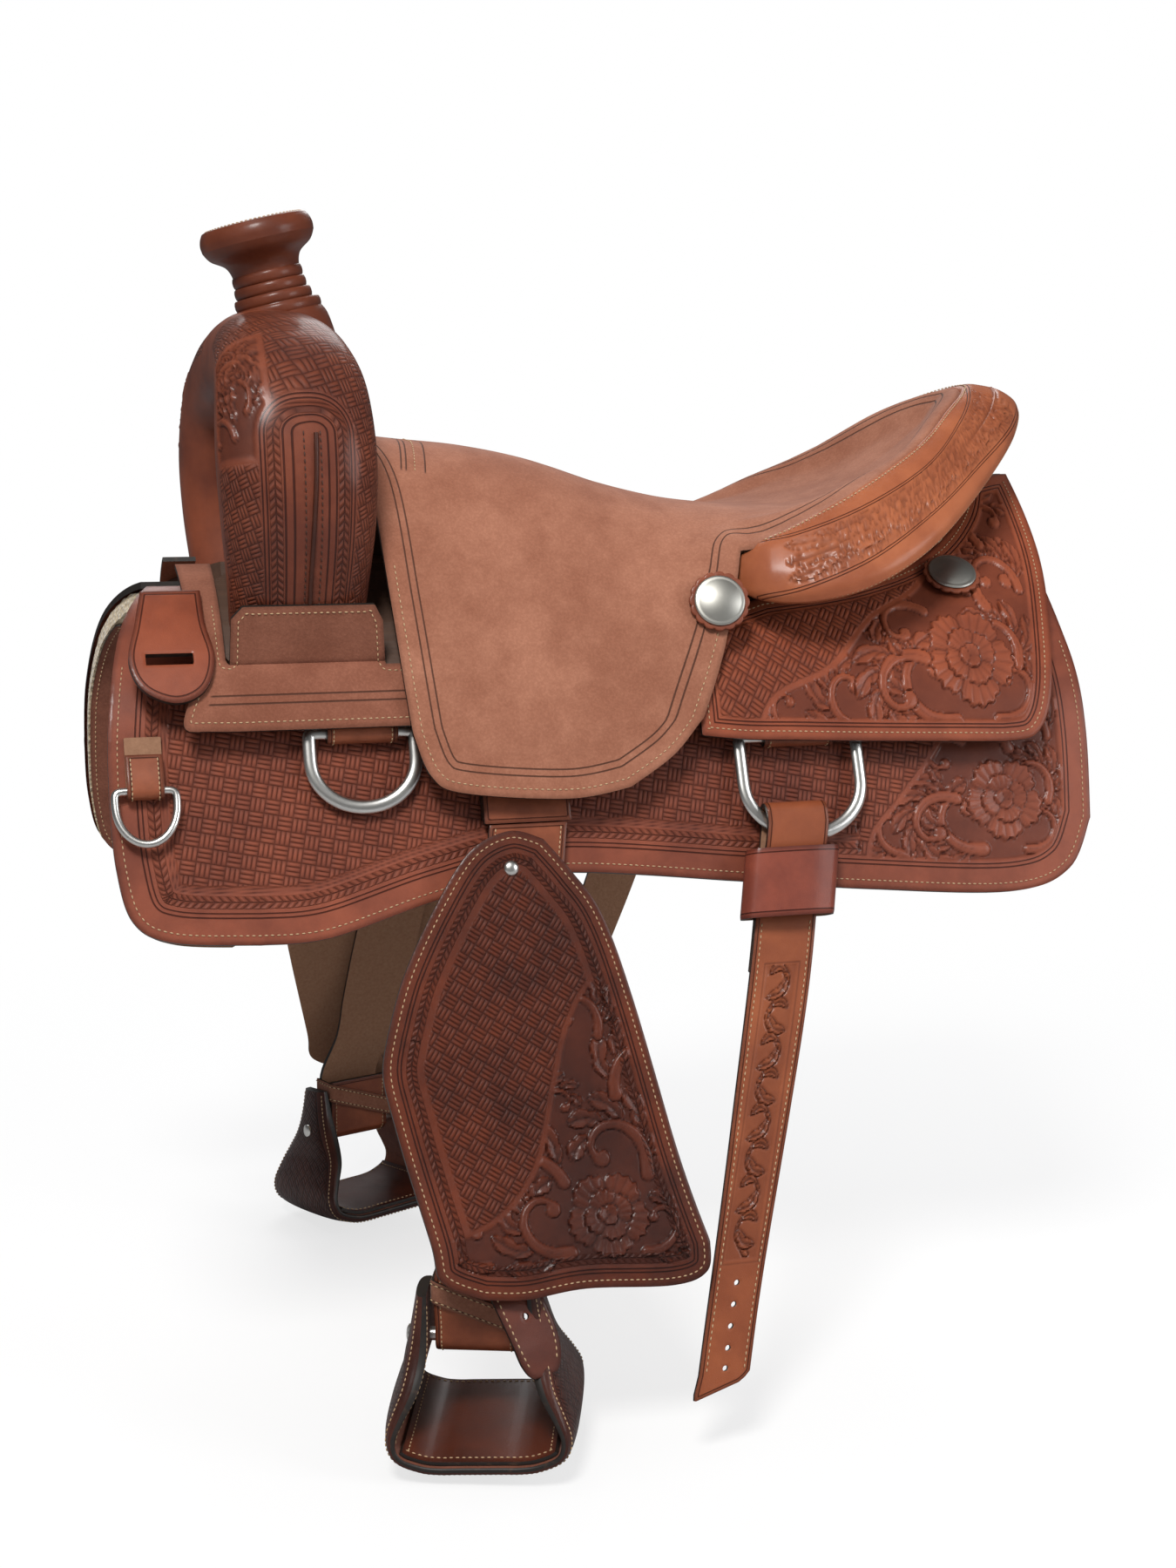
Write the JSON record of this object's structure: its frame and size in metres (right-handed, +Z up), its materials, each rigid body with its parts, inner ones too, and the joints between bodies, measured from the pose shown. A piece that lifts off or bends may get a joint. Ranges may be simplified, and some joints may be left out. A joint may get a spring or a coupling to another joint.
{
  "type": "western trail saddle",
  "caption": "Western trail saddle with horn, deep cantle, rough-out seat, tooled skirts, swinging fenders with bell stirrups and rear billets on dees.",
  "frame": {"origin": "on the ridge of the rack or back that carries the saddle, at the middle of its length, where the fleece would touch", "axes": "+X to the rear (cantle), +Y to the off (right) side, +Z up; the horn is at -X"},
  "size_m": [0.7147, 0.613, 0.8291],
  "materials": {
    "smooth_leather": "oiled, hand tooled",
    "dark_leather": "oiled dark, hand tooled",
    "roll_leather": "oiled light, hand tooled",
    "rough_leather": "rough-out, dry",
    "strap_leather": "smooth harness leather",
    "fleece_wool": "cut pile wool",
    "tree_wood": "bare tree wood",
    "bright_steel": "bright plated steel"
  },
  "bodies": {
    "saddle": {"skirt_near": "smooth_leather", "skirt_off": "smooth_leather", "fleece_near": "fleece_wool", "fleece_off": "fleece_wool", "tree_bar_near": "tree_wood", "tree_bar_off": "tree_wood", "rear_jockey_near": "smooth_leather", "rear_jockey_off": "smooth_leather", "front_jockey_near": "rough_leather", "front_jockey_off": "rough_leather", "rear_rigging_near": "strap_leather", "rear_rigging_off": "strap_leather", "front_rigging_near": "strap_leather", "front_rigging_off": "strap_leather", "stirrup_leather_top_near": "strap_leather", "stirrup_leather_top_off": "strap_leather", "seat_rosette_near": "smooth_leather", "seat_rosette_off": "smooth_leather", "seat_concho_near": "bright_steel", "seat_concho_off": "bright_steel", "rear_rosette_near": "smooth_leather", "rear_rosette_off": "smooth_leather", "rear_concho_near": "bright_steel", "rear_concho_off": "bright_steel", "breast_tab_near": "strap_leather", "breast_tab_off": "strap_leather", "tree_fork": "tree_wood", "swell_cover": "smooth_leather", "horn_core": "bright_steel", "horn_wrap": "smooth_leather", "seat_leather": "rough_leather", "ground_seat": "tree_wood", "cantle_roll": "roll_leather", "tree_cantle": "tree_wood", "cantle_back": "smooth_leather", "latigo_keeper": "smooth_leather"},
    "leather_hanger_near": {"leather_pivot_near": "strap_leather"},
    "fender_leaf_near": {"stirrup_leather_near": "strap_leather", "fender_near": "dark_leather", "hobble_strap_near": "rough_leather"},
    "stirrup_set_near": {"stirrup_near": "dark_leather", "stirrup_tread_near": "strap_leather", "stirrup_bolt_near": "bright_steel"},
    "rear_dee_near": {"rear_dee_near": "bright_steel"},
    "rear_billet_near": {"rear_billet_near": "strap_leather"},
    "billet_keeper_near": {"billet_keeper_near": "strap_leather"},
    "front_dee_near": {"front_dee_near": "bright_steel"},
    "breast_dee_near": {"breast_dee_near": "bright_steel"},
    "leather_hanger_off": {"leather_pivot_off": "strap_leather"},
    "fender_leaf_off": {"stirrup_leather_off": "strap_leather", "fender_off": "dark_leather", "hobble_strap_off": "rough_leather"},
    "stirrup_set_off": {"stirrup_off": "dark_leather", "stirrup_tread_off": "strap_leather", "stirrup_bolt_off": "bright_steel"},
    "rear_dee_off": {"rear_dee_off": "bright_steel"},
    "rear_billet_off": {"rear_billet_off": "strap_leather"},
    "billet_keeper_off": {"billet_keeper_off": "strap_leather"},
    "front_dee_off": {"front_dee_off": "bright_steel"},
    "breast_dee_off": {"breast_dee_off": "bright_steel"}
  },
  "joints": [
    {"name": "fender_swing_near", "type": "hinge", "parent": "saddle", "child": "leather_hanger_near", "pos_m": [-0.09, -0.15541, -0.11891], "axis": [0, 0.9511, -0.309], "range_deg": [-8, 20]},
    {"name": "fender_lift_near", "type": "hinge", "parent": "leather_hanger_near", "child": "fender_leaf_near", "pos_m": [-0.09, -0.16779, -0.14117], "axis": [-1, 0, 0], "range_deg": [0, 85]},
    {"name": "stirrup_tilt_near", "type": "hinge", "parent": "fender_leaf_near", "child": "stirrup_set_near", "pos_m": [-0.145, -0.23876, -0.47351], "axis": [-0.9397, 0.342, 0], "range_deg": [-15, 40]},
    {"name": "rear_dee_flap_near", "type": "hinge", "parent": "saddle", "child": "rear_dee_near", "pos_m": [0.112, -0.14787, -0.09086], "axis": [-1, 0, 0], "range_deg": [0, 24]},
    {"name": "rear_billet_swing_near", "type": "hinge", "parent": "rear_dee_near", "child": "rear_billet_near", "pos_m": [0.112, -0.17348, -0.15333], "axis": [-1, 0, 0], "range_deg": [0, 12]},
    {"name": "keeper_slide_near", "type": "slide", "parent": "rear_billet_near", "child": "billet_keeper_near", "axis": [-0.238, -0.3001, -0.9237], "range_m": [0, 0.18]},
    {"name": "front_dee_flap_near", "type": "hinge", "parent": "saddle", "child": "front_dee_near", "pos_m": [-0.2, -0.14332, -0.07737], "axis": [-1, 0, 0], "range_deg": [0, 25]},
    {"name": "breast_dee_flap_near", "type": "hinge", "parent": "saddle", "child": "breast_dee_near", "pos_m": [-0.345, -0.1531, -0.11019], "axis": [-1, 0, 0], "range_deg": [0, 60]},
    {"name": "fender_swing_off", "type": "hinge", "parent": "saddle", "child": "leather_hanger_off", "pos_m": [-0.09, 0.15541, -0.11891], "axis": [0, 0.9511, 0.309], "range_deg": [-8, 20]},
    {"name": "fender_lift_off", "type": "hinge", "parent": "leather_hanger_off", "child": "fender_leaf_off", "pos_m": [-0.09, 0.16779, -0.14117], "axis": [1, 0, 0], "range_deg": [0, 85]},
    {"name": "stirrup_tilt_off", "type": "hinge", "parent": "fender_leaf_off", "child": "stirrup_set_off", "pos_m": [-0.145, 0.23876, -0.47351], "axis": [0.9397, 0.342, 0], "range_deg": [-15, 40]},
    {"name": "rear_dee_flap_off", "type": "hinge", "parent": "saddle", "child": "rear_dee_off", "pos_m": [0.112, 0.14787, -0.09086], "axis": [1, 0, 0], "range_deg": [0, 24]},
    {"name": "rear_billet_swing_off", "type": "hinge", "parent": "rear_dee_off", "child": "rear_billet_off", "pos_m": [0.112, 0.17348, -0.15333], "axis": [1, 0, 0], "range_deg": [0, 12]},
    {"name": "keeper_slide_off", "type": "slide", "parent": "rear_billet_off", "child": "billet_keeper_off", "axis": [-0.238, 0.3001, -0.9237], "range_m": [0, 0.18]},
    {"name": "front_dee_flap_off", "type": "hinge", "parent": "saddle", "child": "front_dee_off", "pos_m": [-0.2, 0.14332, -0.07737], "axis": [1, 0, 0], "range_deg": [0, 25]},
    {"name": "breast_dee_flap_off", "type": "hinge", "parent": "saddle", "child": "breast_dee_off", "pos_m": [-0.345, 0.1531, -0.11019], "axis": [1, 0, 0], "range_deg": [0, 60]}
  ]
}
